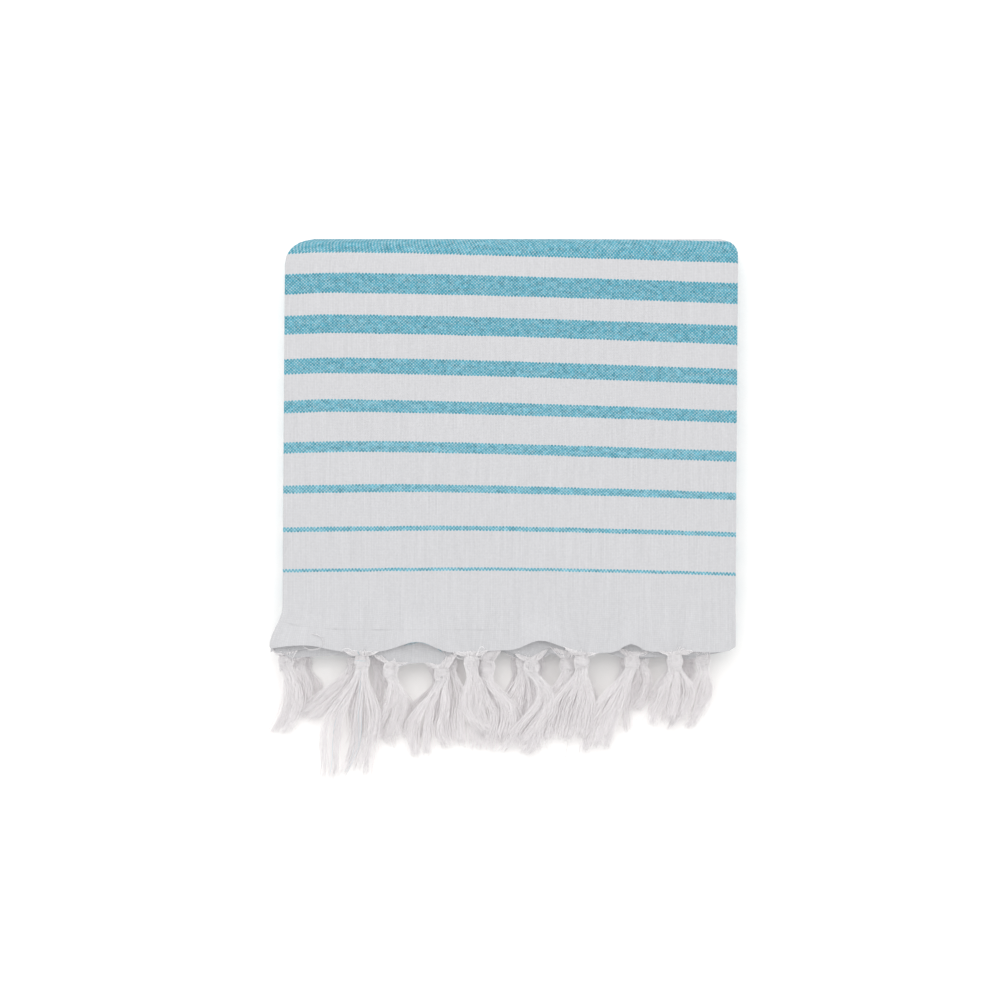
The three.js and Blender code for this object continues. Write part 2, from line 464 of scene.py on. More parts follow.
def between_layers(layer, across):
    """The woven edge's shift at a fraction of a layer, for the turns at the sides."""
    shifts = np.stack([woven_edge_shift(i, across) for i in range(LAYERS)])
    below = np.clip(np.floor(layer).astype(int), 0, LAYERS - 2)
    index = np.broadcast_to(below, across.shape)[None, None]
    a = np.take_along_axis(shifts, index, axis=0)[0]
    b = np.take_along_axis(shifts, index + 1, axis=0)[0]
    return mix(a, b, layer - below)


def corner_inset(y, radius):
    """How far a side lies in from straight where a back corner is rounded."""
    along = np.clip(y - (BACK_EDGE - radius), 0, radius)
    return radius - np.sqrt(np.maximum(radius * radius - along * along, 0))


def place_across(across, y):
    """The x of a place across the folded cloth, which is 0 at its left side."""
    left = CLOTH_LEFT + corner_inset(y, CORNER_RADIUS_LEFT)
    right = CLOTH_LEFT + FOLDED_WIDTH - corner_inset(y, CORNER_RADIUS_RIGHT)
    lean = SIDEWAYS_LEAN * (y - (BACK_EDGE + WOVEN_END_A) / 2)
    return mix(left, right, across / FOLDED_WIDTH) + lean


# Where along the cloth the middle of each front turn is.
FRONT_PLACES = {n: start_of_panel(n) + panel_length(n) + fold_length(n) / 2 for n in (2, 4, 6)}


def layer_of(v, height):
    """The layer of the fringe that a point's ply runs into, with fractions in the side turns."""
    plies = height / PLY_PITCH
    return np.where(v < CLOTH_LENGTH / 2, TOP_MIDDLE + plies, LOW_MIDDLE - plies)


def lay(across, height, station):
    """Where a point of the cloth lies, as an array with x, y and z first."""
    v, y, z, normal_y, normal_z = station
    across, height, v = np.broadcast_arrays(across, height, v)
    y = y + height * normal_y
    z = z + height * normal_z
    from_end = np.minimum(v, CLOTH_LENGTH - v)
    edge = between_layers(layer_of(v, height), across)
    near_y = smooth(1 - from_end / LIP_REACH)
    near_xz = smooth(1 - from_end / LIFT_REACH)
    y = y + edge[1] * near_y + BACK_BULGE * smooth((y - BACK_EDGE) / (9 * MM) + 1)
    for number, place in FRONT_PLACES.items():
        near = smooth(1 - np.abs(v - place) / FRONT_REACH)
        y = y + FRONT_UNEVENNESS * near * ripples(across, 0, 90 * MM, number)
    inner = smooth((v - panel_length(1)) / (15 * MM))
    inset = inner * (SIDE_INSET + SIDE_UNEVENNESS * ripples(v, 0, 110 * MM, 5))
    drift = inner * SIDE_DRIFT * ripples(v, 0, 150 * MM, 6)
    x = place_across(across, y) + edge[0] * near_xz
    x = x + inset * mix(1, -1, across / FOLDED_WIDTH) + drift
    z = z + edge[2] * near_xz**2
    z = z + dents(x, y) * np.clip(z / TOP, 0, 1) ** 3
    return np.stack([x, y, z])


def dents(x, y):
    """Soft hollows and swells of the stack's top."""
    swell = SWELL_HEIGHT * ripples(x, y, 70 * MM, 11)
    rows = np.sin(y / (1.9 * MM) + 2.5 * ripples(x, y, 60 * MM, 12))
    right = smooth((x - 10 * MM) / (60 * MM)) * (0.6 + 0.4 * ripples(x, y, 45 * MM, 13))
    crest = smooth((HINGE.y + 4 * MM - y) / (20 * MM))
    return (swell + FINE_ROW_HEIGHT * rows * right) * crest


def stripe_bow(across, v):
    """How far the weft lines bow away from straight where the cloth was laid a little askew.

    Near the woven end a line is highest in the middle. Further along the peak lies to the left,
    and the right side drops by more. The bow fades out inside the stack.
    """
    grown = smooth((v - 20 * MM) / (110 * MM))
    peak = mix(115 * MM, 25 * MM, grown)
    drop = mix(2.3 * MM, 5.9 * MM, grown) - 0.7 * MM * smooth((v - 150 * MM) / (50 * MM))
    right = np.clip(across - peak, 0, None) / (FOLDED_WIDTH - 7 * MM - peak)
    left = np.clip(peak - across, 0, None) / peak
    bow = -drop * right**1.4 - 0.9 * MM * left**1.5
    return bow * smooth((420 * MM - v) / (150 * MM))


# Meshes.


def mesh_object(name, points, quads, uv_of_point, attributes=(), sharp=()):
    """An object from numpy arrays of points and quads, smooth but for the sharp edges."""
    mesh = bpy.data.meshes.new(name)
    mesh.vertices.add(len(points))
    mesh.vertices.foreach_set("co", points.astype(np.float32).ravel())
    mesh.loops.add(quads.size)
    mesh.loops.foreach_set("vertex_index", quads.astype(np.int32).ravel())
    mesh.polygons.add(len(quads))
    mesh.polygons.foreach_set("loop_start", np.arange(0, quads.size, 4, dtype=np.int32))
    mesh.update(calc_edges=True)
    mesh.polygons.foreach_set("use_smooth", np.ones(len(quads), bool))
    uv = mesh.uv_layers.new(name="cloth_metres")
    uv.data.foreach_set("uv", uv_of_point[quads.ravel()].astype(np.float32).ravel())
    for key, values in attributes:
        attribute = mesh.attributes.new(key, "FLOAT", "POINT")
        attribute.data.foreach_set("value", values.astype(np.float32))
    if len(sharp):
        ends = np.zeros(len(mesh.edges) * 2, np.int32)
        mesh.edges.foreach_get("vertices", ends)
        ends = np.sort(ends.reshape(-1, 2), axis=1)
        wanted = {tuple(e) for e in np.sort(sharp, axis=1)}
        flags = np.array([tuple(e) in wanted for e in ends])
        mesh.attributes.new("sharp_edge", "BOOLEAN", "EDGE").data.foreach_set("value", flags)
    mesh.validate()
    obj = bpy.data.objects.new(name, mesh)
    bpy.context.scene.collection.objects.link(obj)
    return obj


def grid_normals(points):
    """Unit normals of a grid of points whose first axis is x, y, z."""
    along = np.gradient(points, axis=1)
    across = np.gradient(points, axis=2)
    normal = np.cross(along, across, axis=0)
    return normal / np.linalg.norm(normal, axis=0)


def thick_sheet(name, points, uv, attributes):
    """A closed cloth of PLY_THICKNESS round a grid of points, with crisp rims."""
    rows, columns = points.shape[1:]
    normal = grid_normals(points) * PLY_THICKNESS / 2
    upper = (points + normal).reshape(3, -1).T
    lower = (points - normal).reshape(3, -1).T
    index = np.arange(rows * columns).reshape(rows, columns)
    face = np.stack([index[:-1, :-1], index[1:, :-1], index[1:, 1:], index[:-1, 1:]], -1)
    face = face.reshape(-1, 4)
    rim = np.concatenate([index[0, :], index[1:, -1], index[-1, -2::-1], index[-2::-1, 0]])
    ends = np.stack([rim[:-1], rim[1:]], -1)
    shift = rows * columns
    wall = np.stack([ends[:, 0], ends[:, 1], ends[:, 1] + shift, ends[:, 0] + shift], -1)
    quads = np.concatenate([face, face[:, ::-1] + shift, wall])
    uv_of_point = np.tile(uv.reshape(2, -1).T, (2, 1))
    return mesh_object(
        name,
        np.concatenate([upper, lower]),
        quads,
        uv_of_point,
        attributes=[(key, np.tile(values.ravel(), 2)) for key, values in attributes],
        sharp=np.concatenate([ends, ends + shift]),
    )


# The gathers that a knot pulls in the cloth, and the pressed crease of the top ply.
KNOT_FROM_EDGE = 5 * MM
GATHER_REACH = 13 * MM
CREASE_Y = -63.3 * MM
CREASE_RISE = 5.2 * MM
CREASE_RISE_REACH = 12 * MM
CREASE_END = 120 * MM
NO_CREASE = 100.0


def gathers(across, height, v, y):
    """Per point: the angle round the nearest knot, its pull, and the crease's distance in mm."""
    layer = layer_of(v, height)
    away = np.stack([from_nearest_knot(i, across) for i in range(LAYERS)])
    nearest = np.clip(np.rint(layer), 0, LAYERS - 1).astype(int)
    away = np.take_along_axis(away, nearest[None], axis=0)[0]
    along = np.minimum(v, CLOTH_LENGTH - v) + KNOT_FROM_EDGE
    angle = np.arctan2(away, along)
    pull = bell(np.hypot(away, along), 0, GATHER_REACH)
    pull = pull * smooth(1.4 - np.abs(away) / (14 * MM))
    from_crease = y - (CREASE_Y + CREASE_RISE * np.exp(-across / CREASE_RISE_REACH))
    creased = (layer > LAYERS - 1.5) & (across < CREASE_END)
    crease = np.where(creased, from_crease / MM, NO_CREASE)
    return [("angle", angle), ("pull", pull), ("crease", crease)]


def cloth_piece(name, section, line):
    """The cloth of one section along one line, with its place in the flat cloth as UV."""
    u, across, height, v = np.broadcast_arrays(*section, line[0][:, None])
    points = lay(across, height, line[:, :, None])
    uv = np.stack([u, v - stripe_bow(across, v)])
    return thick_sheet(name, points, uv, gathers(across, height, v, points[1]))


# Materials.


class Graph:
    """Short calls for a material's nodes. A value is a socket or a number."""

    def __init__(self, name):
        self.material = bpy.data.materials.new(name)
        self.material.use_nodes = True
        self.tree = self.material.node_tree
        self.shader = self.tree.nodes["Principled BSDF"]

    def node(self, kind, **settings):
        node = self.tree.nodes.new("ShaderNode" + kind)
        for key, value in settings.items():
            setattr(node, key, value)
        return node

    def set(self, socket, value):
        if isinstance(value, bpy.types.NodeSocket):
            self.tree.links.new(value, socket)
        else:
            socket.default_value = value

    def math(self, operation, *values, clamp=False):
        node = self.node("Math", operation=operation, use_clamp=clamp)
        for socket, value in zip(node.inputs, values):
            self.set(socket, value)
        return node.outputs[0]

    def ramp(self, value, low, high, to_low=0.0, to_high=1.0):
        node = self.node("MapRange", interpolation_type="SMOOTHSTEP")
        for socket, v in zip(node.inputs, (value, low, high, to_low, to_high)):
            self.set(socket, v)
        return node.outputs[0]

    def point(self, x, y, z=0.0):
        node = self.node("CombineXYZ")
        for socket, value in zip(node.inputs, (x, y, z)):
            self.set(socket, value)
        return node.outputs[0]

    def total(self, start, *parts):
        """The start plus each part, which is a value and its weight."""
        for value, weight in parts:
            start = self.math("MULTIPLY_ADD", value, weight, start)
        return start

    def noise(self, x, y, scale_x, scale_y, detail, seed):
        """Smooth noise from 0 to 1, with its own scale each way."""
        node = self.node("TexNoise", noise_dimensions="3D")
        wide = self.math("MULTIPLY", x, scale_x)
        high = self.math("MULTIPLY", y, scale_y)
        self.set(node.inputs["Vector"], self.point(wide, high, seed))
        node.inputs["Scale"].default_value = 1.0
        node.inputs["Detail"].default_value = detail
        return node.outputs["Fac"]

    def dice(self, x, y):
        node = self.node("TexWhiteNoise", noise_dimensions="2D")
        self.set(node.inputs["Vector"], self.point(x, y))
        return node.outputs["Value"]

    def blend(self, factor, a, b, mode="MIX"):
        node = self.node("Mix", data_type="RGBA", blend_type=mode)
        for socket, value in zip((node.inputs[0], node.inputs[6], node.inputs[7]), (factor, a, b)):
            self.set(socket, value)
        return node.outputs[2]

    def attribute(self, name):
        return self.node("Attribute", attribute_name=name).outputs["Fac"]

    def uv(self):
        node = self.node("SeparateXYZ")
        self.set(node.inputs[0], self.node("UVMap", uv_map="cloth_metres").outputs[0])
        return node.outputs[0], node.outputs[1]

    def bump(self, height, distance, strength):
        node = self.node("Bump")
        node.inputs["Strength"].default_value = strength
        node.inputs["Distance"].default_value = distance
        self.set(node.inputs["Height"], height)
        self.set(self.shader.inputs["Normal"], node.outputs[0])


WHITE_COTTON = (0.594, 0.594, 0.610, 1)
TURQUOISE_DEEP = (0.074, 0.320, 0.418, 1)
TURQUOISE_PALE = (0.190, 0.450, 0.540, 1)
# Two painted tones of one white yarn: darker for the knots, fans and strays, which lie in the light,
# and lighter for the loose ends and the lower layers, which lie in shade.
YARN_PAINTED_DARKER = (0.850, 0.830, 0.840, 1)
YARN_PAINTED_LIGHTER = (0.880, 0.852, 0.862, 1)
TWIST_PITCH = 1.1 * MM


def stripe_mask(g, row_place):
    """1 where a weft thread is turquoise, with the stripe's number from the woven end."""
    from_end = g.math("MINIMUM", row_place, g.math("SUBTRACT", CLOTH_LENGTH, row_place))
    past_first = g.math("SUBTRACT", from_end, FIRST_STRIPE)
    number = g.math("MAXIMUM", g.math("ROUND", g.math("DIVIDE", past_first, STRIPE_PITCH)), 0.0)
    width = g.math("MULTIPLY_ADD", number, STRIPE_GROWTH, NARROWEST_STRIPE)
    width = g.math("MINIMUM", width, WIDEST_STRIPE)
    offset = g.math("SUBTRACT", past_first, g.math("MULTIPLY", number, STRIPE_PITCH))
    mask = g.math("LESS_THAN", g.math("ABSOLUTE", offset), g.math("MULTIPLY", width, 0.5))
    return mask, number


def crossing_threads(g, u, v, wander):
    """The number of the warp thread and of the weft row at a point, and which thread is on top.

    The last is 1 in the middle of a crossing where the warp is on top, -1 where the weft is, and
    0 between the threads. The weft rows sway over and under the warp.
    """
    warp = g.total(g.math("DIVIDE", u, WARP_PITCH), (wander, 0.9))
    weft = g.total(g.math("DIVIDE", v, WEFT_PITCH), (wander, -0.8))
    sin_warp = g.math("SINE", g.math("MULTIPLY", warp, math.pi))
    sin_weft = g.math("SINE", g.math("MULTIPLY", weft, math.pi))
    cos_weft = g.math("COSINE", g.math("MULTIPLY", weft, math.pi))
    sway = g.math("MULTIPLY", g.math("MULTIPLY", sin_warp, cos_weft), -0.42)
    row = g.math("FLOOR", g.math("ADD", weft, sway))
    return g.math("FLOOR", warp), row, g.math("MULTIPLY", sin_warp, sin_weft)


def slanting_mottle(g, u, v):
    """Short slanting flecks both ways, from about -0.5 to 0.5."""
    rising = g.math("ADD", u, v)
    falling = g.math("SUBTRACT", u, v)
    one_way = g.noise(rising, falling, 800.0, 260.0, 2.0, 11.0)
    other_way = g.noise(falling, rising, 800.0, 260.0, 2.0, 13.0)
    return g.math("ADD", g.math("ADD", one_way, other_way), -1.0)


def pressed_crease(g, wander, streak):
    """A broken line where the top ply was once pressed. It is a shallow groove in the bump, and
    painted shade that darkens the colour along it.
    """
    distance = g.math("ABSOLUTE", g.total(g.attribute("crease"), (wander, 0.8)))
    line = g.math("MULTIPLY", g.ramp(distance, 0.15, 0.55, 1.0, 0.0), g.math("ADD", streak, 0.3))
    return g.math("MULTIPLY", line, g.ramp(wander, -0.12, 0.12, 0.2, 1.0))


def cotton_cloth():
    """Plain weave: white warp threads over and under white and turquoise weft threads."""
    g = Graph("cotton_cloth")
    u, v = g.uv()
    wander = g.math("SUBTRACT", g.noise(u, v, 90.0, 90.0, 2.0, 0.0), 0.5)
    end, row, crossing = crossing_threads(g, u, v, wander)
    mask, number = stripe_mask(g, g.math("MULTIPLY", g.math("ADD", row, 0.5), WEFT_PITCH))

    slub = g.noise(u, row, 55.0, 0.83, 1.0, 3.0)
    streak = g.noise(end, v, 0.77, 30.0, 1.0, 7.0)
    speck = g.dice(end, row)
    mottle = slanting_mottle(g, u, v)
    blotch = g.math("SUBTRACT", g.noise(u, v, 300.0, 500.0, 3.0, 19.0), 0.5)
    rib = g.noise(u, v, 1500.0, 45.0, 1.0, 17.0)
    swirl = g.total(g.math("MULTIPLY", wander, 5.0), (g.attribute("angle"), 9.0))
    gather = g.math("MULTIPLY", g.math("SINE", swirl), g.attribute("pull"))
    crease = pressed_crease(g, wander, streak)
    thread_round = g.math("ABSOLUTE", crossing)

    light = g.total(0.868, (streak, 0.13), (rib, 0.10), (mottle, 0.06), (blotch, 0.03))
    # Painted light and shade: the gathers are painted faintly lighter and darker across their folds,
    # and the crease darker; the specks are random tone.
    light = g.total(light, (gather, 0.012), (crease, -0.10), (speck, 0.05))
    # Painted shade: between the threads the cloth is painted up to 7% darker than on their crowns.
    light = g.math("MULTIPLY", light, g.ramp(thread_round, 0.0, 0.5, 0.93, 1.0))
    white = g.blend(1.0, WHITE_COTTON, g.point(light, light, light), "MULTIPLY")

    uneven = g.total(crossing, (g.math("SUBTRACT", speck, 0.5), 0.6))
    paler_when_thin = g.ramp(number, 0.0, 7.0, 0.45, 0.0)
    tone = g.total(-0.45, (speck, 0.5), (slub, 0.9), (mottle, 0.6))
    tone = g.math("ADD", tone, paler_when_thin, clamp=True)
    turquoise = g.blend(tone, TURQUOISE_DEEP, TURQUOISE_PALE)
    patch = g.total(0.97, (blotch, 0.9), (mottle, 0.3), (uneven, 0.14))
    turquoise = g.blend(1.0, turquoise, g.point(patch, patch, patch), "MULTIPLY")
    warp_shows = g.math("MULTIPLY", g.ramp(uneven, 0.10, 0.85), 0.55)
    turquoise = g.blend(warp_shows, turquoise, white)

    g.set(g.shader.inputs["Base Color"], g.blend(mask, white, turquoise))
    g.shader.inputs["Roughness"].default_value = 0.92
    g.shader.inputs["Specular IOR Level"].default_value = 0.2
    g.shader.inputs["Sheen Weight"].default_value = 0.06
    g.shader.inputs["Sheen Roughness"].default_value = 0.5
    relief = g.total(thread_round, (slub, 0.25), (streak, 0.4), (rib, 0.6))
    relief = g.total(relief, (gather, 2.6), (crease, -2.0))
    g.bump(relief, 0.12 * MM, 0.6)
    return g.material


def fringe_yarn():
    """Loose cotton threads, each a little lighter or darker, with the twist of the yarn. The yarn has
    painted light and shade: knots, fans and strays are painted darker, loose ends and lower layers
    lighter, upper layers a little darker, and it glows faintly.
    """
    g = Graph("fringe_yarn")
    around, along = g.uv()
    # Each thread's tone varies at random, with painted shade that darkens the upper layers and the
    # strays.
    shade = g.math("MULTIPLY_ADD", g.attribute("shade"), 0.04, 1.0)
    # Painted light: the loose attribute blends from the darker painted yarn to the lighter one.
    colour = g.blend(g.attribute("loose"), YARN_PAINTED_DARKER, YARN_PAINTED_LIGHTER)
    colour = g.blend(1.0, colour, g.point(shade, shade, shade), "MULTIPLY")
    colour = g.blend(g.attribute("dye"), colour, TURQUOISE_PALE)
    g.set(g.shader.inputs["Base Color"], colour)
    g.shader.inputs["Roughness"].default_value = 0.85
    g.shader.inputs["Specular IOR Level"].default_value = 0.3
    # Painted light: a faint glow in the yarn's own colour lifts the shade between the threads.
    g.set(g.shader.inputs["Emission Color"], colour)
    g.shader.inputs["Emission Strength"].default_value = 0.10
    g.shader.inputs["Subsurface Weight"].default_value = 0.5
    g.shader.inputs["Subsurface Radius"].default_value = (1, 1, 1)
    g.shader.inputs["Subsurface Scale"].default_value = 0.5 * MM
    g.shader.inputs["Sheen Weight"].default_value = 0.15
    g.shader.inputs["Sheen Roughness"].default_value = 0.4
    twist = g.total(g.math("MULTIPLY", around, 2.0), (along, 1 / TWIST_PITCH))
    g.bump(g.math("SINE", g.math("MULTIPLY", twist, 2 * math.pi)), 0.04 * MM, 0.5)
    return g.material


# The fringe: bunches of threads, each knotted near the cloth and loose beyond the knot.

FAN_REACH = 12 * MM
KNOT_LENGTH = 6.5 * MM
KNOT_HALF_WIDTH = 4.1 * MM
KNOT_HALF_DEPTH = 1.9 * MM
KNOT_HEIGHT = 2.4 * MM
KNOT_HEIGHT_PER_LAYER = 1.85 * MM
TIP_HEIGHT = 0.5 * MM
TIP_HEIGHT_PER_LAYER = 0.75 * MM
EDGE_MARGIN = 0.6 * MM
THREAD_SIDES = 4
THREAD_RADIUS = 0.13 * MM
FAN_STEPS = 6
KNOT_STEPS = 14
SKIRT_STEPS = 13

# How many threads are in each bunch of a layer.
THREADS = (80, 90, 100, 110, 120, 140, 180, 190)


def woven_edge(layer, across):
    """Points on the woven edge of a layer, x, y and z first."""
    top_end = layer >= PLIES
    number = 1 if top_end else 8
    line = panel_line(number, np.array([0.0, panel_length(number)]))
    line[0] += 0 if top_end else start_of_panel(number)
    station = line[:, :1] if top_end else line[:, 1:]
    height = (layer - TOP_MIDDLE) * PLY_PITCH if top_end else (LOW_MIDDLE - layer) * PLY_PITCH
    return lay(across, np.full(across.shape, height), station)


def fan_limits(layer, number):
    """The stretch of woven edge whose threads go into a knot."""
    knot = knots_of(layer)[number]
    return max(knot - FAN_REACH, EDGE_MARGIN), min(knot + FAN_REACH, FOLDED_WIDTH - EDGE_MARGIN)


def column(values):
    return np.asarray(values)[:, None]


def bunch_threads(layer, number, count):
    """Paths of a bunch's threads: an array of threads, steps and x, y, z."""
    rng = np.random.default_rng(1000 + layer * 10 + number)
    knot, knot_y, *skirt = BUNCHES[layer][number]
    rank = (np.arange(count) + 0.5) / count
    left, right = fan_limits(layer, number)
    start = woven_edge(layer, mix(left, right, rank))
    top_y = knot_y * MM + KNOT_LENGTH / 2
    knot_x = place_across(np.array(knot * MM), knot_y * MM)
    knot_z = KNOT_HEIGHT + layer * KNOT_HEIGHT_PER_LAYER
    side = 2 * rank - 1
    offset_x = side * 0.8 * KNOT_HALF_WIDTH
    offset_z = rng.uniform(-1, 1, count) * np.sqrt(1 - side**2) * 0.5 * KNOT_HALF_DEPTH

    fan = fan_paths(start, knot_x + offset_x, top_y, knot_z + offset_z * 0.5, rng)
    tied = knot_paths(offset_x, offset_z, rng) + np.array([knot_x, top_y, knot_z])
    loose = skirt_paths(skirt, layer, rank, tied[:, -1], rng)
    return np.concatenate([fan, tied, loose], axis=1)


def fan_paths(start, knot_x, top_y, knot_z, rng):
    """From the woven edge the threads draw together to the top of the knot."""
    count = len(knot_x)
    t = np.linspace(0, 1, FAN_STEPS)[None, :]
    slack = rng.normal(0, 1, (count, 1)) * (1 + 3 * (rng.random((count, 1)) < 0.06))
    swing = np.sin(math.pi * t)
    x = mix(column(start[0]), column(knot_x), t**0.9)
    y = mix(column(start[1]) + 0.5 * MM, top_y, t) + 0.35 * MM * swing * slack
    z = mix(column(start[2]), column(knot_z), smooth(t))
    z = z + 0.5 * MM * swing * np.abs(slack)
    return np.stack([x, y, z], -1)


def knot_paths(offset_x, offset_z, rng):
    """Through the knot: some of the threads wind over the rest, each at its own tilt."""
    count = len(offset_x)
    s = np.linspace(0, 1, KNOT_STEPS + 1)[None, 1:]
    wraps = rng.random((count, 1)) < 0.4
    hand = rng.choice([-1, 1])
    turned = hand * 2 * math.pi * 1.4 * s + rng.uniform(0, 2 * math.pi)
    reach = np.sin(math.pi * s) ** 0.5
    size = rng.uniform(0.55, 1.0, (count, 1))
    tilt = hand * 1.4 * MM + rng.normal(0, 1.2 * MM, (count, 1))
    lead = rng.normal(0, 0.5, (count, 1))
    shift_y = rng.normal(0, 1.1 * MM, (count, 1)) * reach
    bulge = 1 + 0.25 * np.sin(math.pi * s)
    round_x = KNOT_HALF_WIDTH * size * np.sin(turned)
    round_z = KNOT_HALF_DEPTH * size * np.cos(turned)
    x = column(offset_x) * bulge
    z = column(offset_z) * bulge
    y = np.broadcast_to(-KNOT_LENGTH * s, x.shape)
    x = np.where(wraps, mix(x, round_x, reach), x)
    z = np.where(wraps, mix(z, round_z, reach), z)
    y = np.where(wraps, y + (tilt * np.sin(turned + lead) + shift_y) * reach, y)
    return np.stack([x, y, z], -1)


def skirt_paths(skirt, layer, rank, start, rng):
    """The loose ends: locks of threads that spread, wave, cross and fray."""
    tip, tip_y, spread, bend, curl = skirt
    count = len(rank)
    locks = max(3, round(spread / 2.2))
    lock = np.clip((rank * locks + rng.normal(0, 0.35, count)).astype(int), 0, locks - 1)
    place = ((np.arange(locks) + 0.5) / locks * 2 - 1) + rng.uniform(-0.25, 0.25, locks)
    length = rng.uniform(0.86, 1.02, locks)
    length[rng.integers(locks)] = 1.0
    own_bend = rng.normal(0, 1.3, locks)
    own_wave = rng.normal(0, 1.3, locks)
    phase = rng.uniform(0, 2 * math.pi, locks)
    lift = rng.uniform(-1, 1, locks)
    short = np.where(rng.random(count) < 0.12, rng.uniform(0.35, 0.8, count), 1.0)
    reach = column(length[lock] * short) * rng.uniform(0.93, 1.0, (count, 1))
    t = np.linspace(0, 1, SKIRT_STEPS + 1)[None, 1:] * reach
    tip_x = place_across(np.array(tip * MM), tip_y * MM)
    within = rng.normal(0, 1, (count, 1))
    width = 0.8 + 0.7 * smooth(t * 1.5)
    turn = 2.2 * math.pi * t
    thread_wave = rng.normal(0, 0.55, (count, 1))
    thread_turn = rng.uniform(4, 11, (count, 1)) * t + rng.uniform(0, 2 * math.pi, (count, 1))
    stray = (rng.random((count, 1)) < 0.09) * rng.normal(0, 3.5, (count, 1))

    opened = smooth(t * 2.1)
    shift = column(place[lock]) * spread * opened
    shift = shift + (bend + column(own_bend[lock])) * np.sin(math.pi * t)
    shift = shift + curl * np.sin(turn) * (1 - t)
    shift = shift + within * width * smooth(t * 4)
    shift = shift + column(own_wave[lock]) * np.sin(7 * t + column(phase[lock])) * t
    shift = shift + thread_wave * np.sin(thread_turn) * smooth(t * 3) + stray * t**1.5
    middle = start[:, :1].mean()
    x = mix(mix(start[:, :1], middle, opened), tip_x, t)
    y = mix(start[:, 1:2], tip_y * MM, t) - 0.5 * curl * MM * (1 - np.cos(turn)) * (1 - t)
    z = mix(start[:, 2:], TIP_HEIGHT + layer * TIP_HEIGHT_PER_LAYER, smooth(t * 1.1))
    rise = 1.1 * column(lift[lock]) + 0.45 * rng.normal(0, 1, (count, 1))
    z = z + rise * MM * smooth(t * 2) * (1 - 0.5 * t)
    return np.stack([x + shift * MM, y, np.maximum(z, 0.3 * MM)], -1)


def tubes(name, paths, radius, values):
    """One mesh of thin tubes round the paths, closed at both ends.

    The values become attributes, and each is given for a thread or for every step of it.
    """
    count, steps = paths.shape[:2]
    tangent = np.gradient(paths, axis=1)
    tangent /= np.linalg.norm(tangent, axis=2, keepdims=True)
    side = np.cross(tangent[:, 0], np.array([0.0, 0.0, 1.0]))
    side /= np.linalg.norm(side, axis=1, keepdims=True)
    sides = [side]
    for step in range(1, steps):
        here = tangent[:, step]
        side = sides[-1] - here * np.sum(sides[-1] * here, axis=1, keepdims=True)
        side /= np.linalg.norm(side, axis=1, keepdims=True)
        sides.append(side)
    side = np.stack(sides, axis=1)
    up = np.cross(side, tangent)
    taper = np.ones(steps)
    taper[-1] = 0.35
    angle = np.arange(THREAD_SIDES) * 2 * math.pi / THREAD_SIDES
    ring = side[:, :, None] * np.cos(angle)[:, None] + up[:, :, None] * np.sin(angle)[:, None]
    points = paths[:, :, None] + ring * (radius[:, None] * taper)[:, :, None, None]
    index = np.arange(count * steps * THREAD_SIDES).reshape(count, steps, THREAD_SIDES)
    right = np.roll(index, -1, axis=2)
    walls = np.stack([index[:, :-1], right[:, :-1], right[:, 1:], index[:, 1:]], -1).reshape(-1, 4)
    caps = np.concatenate([index[:, 0, ::-1], index[:, -1]])
    length = np.linalg.norm(np.diff(paths, axis=1), axis=2)
    along = np.concatenate([np.zeros((count, 1)), np.cumsum(length, axis=1)], axis=1)
    uv = np.stack(np.broadcast_arrays((angle / (2 * math.pi))[None, None], along[:, :, None]), -1)
    spread = np.ones((count, steps, THREAD_SIDES))
    attributes = []
    for key, value in values.items():
        value = value[:, None] if value.ndim == 1 else value
        attributes.append((key, (value[:, :, None] * spread).ravel()))
    return mesh_object(
        name,
        points.reshape(-1, 3),
        np.concatenate([walls, caps]),
        uv.reshape(-1, 2),
        attributes,
    )


def along_points(points):
    """A path of one thread through a few points: places across, y and height, in millimetres."""
    points = np.array(points) * MM
    given = np.linspace(0, 1, len(points))
    t = np.linspace(0, 1, FAN_STEPS + KNOT_STEPS + SKIRT_STEPS)
    across, y, z = (np.interp(t, given, values) for values in points.T)
    return np.stack([place_across(across, y), y, z], -1)


def curl_points():
    """A small curl of thread that lies on the cloth near its left corner."""
    turned = np.linspace(-2.4, 4.3, 24)
    across = 16 + 5.6 * np.cos(turned)
    y = -69.3 + 4.2 * np.sin(turned)
    return np.stack([across, y, 19 + 0.3 * np.sin(turned * 1.5)], -1)


# Single threads that lie apart: places across, y and height, in millimetres. STRAYS lists them
# with how much of the turquoise dye each took, by the bunch that they belong to.
LONG_STRAY = ((155, -90, 9), (152, -112, 4), (151, -123, 2), (149.5, -132, 1), (153.5, -141.5, 0.6))
DYED_STRAY = ((62, -72.5, 15.5), (68, -70, 16), (74, -69, 16.2), (79, -71, 15.8), (84, -75, 15))
SHORT_DYED_STRAY = ((66, -71.5, 15.5), (72, -69.6, 16), (78, -71.4, 15.8))
STRAYS = {
    (7, 0): [(curl_points(), 0.0), (curl_points() * [1.012, 1.004, 1.01], 0.0)],
    (7, 2): [(LONG_STRAY, 0.0)],
    (6, 1): [(DYED_STRAY, 0.9), (SHORT_DYED_STRAY, 0.6)],
}
# Painted shade: stray threads are painted darker, so that they do not stand out brighter than the
# cloth they lie on.
STRAY_SHADE = -5

# The threads of one bunch that took a little of the dye.
DYED_BUNCH = (7, 0)
DYED_THREADS = 5
DYE_TAKEN = 0.35


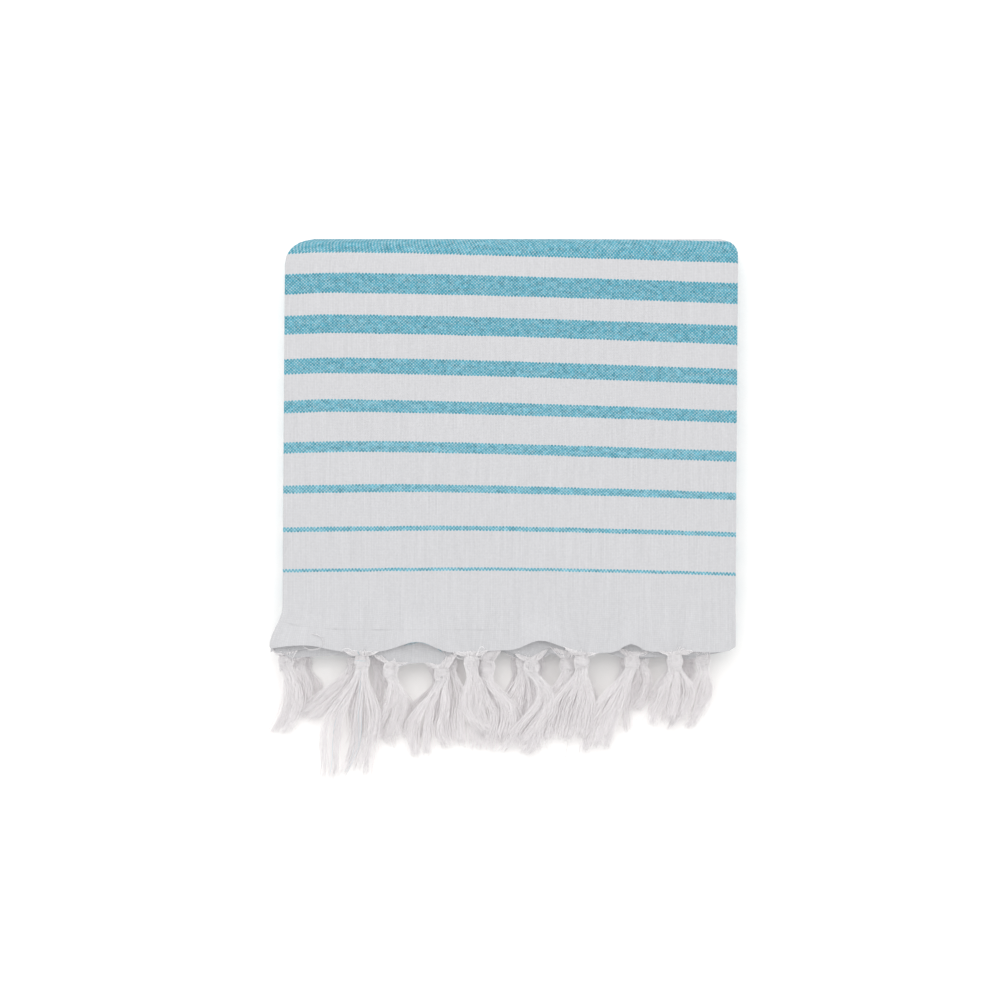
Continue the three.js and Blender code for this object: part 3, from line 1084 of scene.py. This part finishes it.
def tassel(layer, number, material):
    """A knotted bunch and its strays, as one mesh that takes the place of its CAD node."""
    count = THREADS[layer]
    rng = np.random.default_rng(5000 + layer * 10 + number)
    paths = bunch_threads(layer, number, count)
    dye = np.zeros(count)
    if (layer, number) == DYED_BUNCH:
        dye[count // 3 : count // 3 + DYED_THREADS] = DYE_TAKEN
    for points, colour in STRAYS.get((layer, number), []):
        paths = np.concatenate([paths, along_points(points)[None]])
        dye = np.append(dye, colour)
    steps = np.arange(paths.shape[1])
    # Painted light: loose ends and lower layers get the lighter painted yarn, and knots, fans and
    # strays the darker one.
    loose = smooth((steps - FAN_STEPS - KNOT_STEPS + 2) / 5)
    lower_layers_painted_lighter = 0.6 * (LAYERS - 1 - layer) / (LAYERS - 1)
    loose = np.maximum(loose, lower_layers_painted_lighter) * np.ones((len(paths), 1))
    loose[count:] = 0.0
    # A random tone for each thread, plus painted shade: the upper layers, which catch the most light,
    # are painted darker, and the strays darker still.
    shade = rng.uniform(-1, 1, len(paths)) - layer / LAYERS
    shade[count:] = STRAY_SHADE
    end = "a" if layer >= PLIES else "b"
    node = f"tassel_{end}{layer % PLIES + 1}_{number + 1}"
    radius = THREAD_RADIUS * rng.uniform(0.8, 1.15, len(paths))
    values = {"shade": shade, "dye": dye, "loose": loose}
    obj = tubes(f"fringe_{node}", paths, radius, values)
    obj.data.materials.append(material)
    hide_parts(node)
    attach(obj, "upper_stack")
    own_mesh(obj)
    return obj


# Putting the towel together.


def woven_pieces(material):
    """The strips, each two panels and the back fold between them, and the front turns."""
    fine = cloth_section(3 * MM, 6)
    medium = cloth_section(4 * MM, 5)
    coarse = cloth_section(5.5 * MM, 4)
    strips = [
        (1, fine, {1: panel_steps(1, 4 * MM, 1.5 * MM), 2: panel_steps(2, 6 * MM)}, 14),
        (3, coarse, {3: panel_steps(3, 6 * MM), 4: panel_steps(4, 6 * MM)}, 8),
        (5, coarse, {5: panel_steps(5, 6 * MM), 6: panel_steps(6, 6 * MM)}, 10),
        (7, medium, {7: panel_steps(7, 6 * MM), 8: panel_steps(8, 6 * MM, 2 * MM)}, 12),
    ]
    pieces = {}
    for first, section, steps, fold_steps in strips:
        name = f"cloth_{first}_{first + 1}"
        obj = cloth_piece(name, section, stretch(first, first + 1, steps, fold_steps))
        obj.data.materials.append(material)
        fold = f"back_fold_{first}_{first + 1}"
        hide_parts(f"panel_{first}", f"panel_{first + 1}", fold)
        pieces[first] = obj
    for number, body in ((2, "lower_stack"), (4, "upper_stack"), (6, "lower_stack")):
        section = fine if number == 2 else coarse
        obj = cloth_piece(f"cloth_turn_{number}_{number + 1}", section, front_turn(number, 10))
        obj.data.materials.append(material)
        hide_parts(f"front_fold_{number}_{number + 1}")
        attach(obj, body)
        pieces[number] = obj
    return pieces


def bend_strips(pieces):
    """Each strip's place is baked into its mesh. Its turn round the hinge line, between the heights
    of its panels, is already part of that mesh.
    """
    for first in (1, 3, 5, 7):
        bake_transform(pieces[first])


def declare_sheets(pieces, fringes):
    """The strips and turns are one cloth, CLOTH_WIDTH by CLOTH_LENGTH when it lies flat. Each strip's
    next turn, where it has one, and for the end strips the fringe of their woven end, are gathered
    into a list that nothing uses.
    """
    for first in (1, 3, 5, 7):
        others = [pieces[first + 1]] if first < 7 else []
        if first == 1:
            others += [f for f in fringes if "_a" in f.name]
        if first == 7:
            others += [f for f in fringes if "_b" in f.name]


make_camera()
make_floor()
make_light()
cloth_material = cotton_cloth()
yarn_material = fringe_yarn()
cloth = woven_pieces(cloth_material)
bend_strips(cloth)
fringe = [
    tassel(layer, number, yarn_material)
    for layer in range(LAYERS)
    for number in range(len(BUNCHES[layer]))
]
declare_sheets(cloth, fringe)
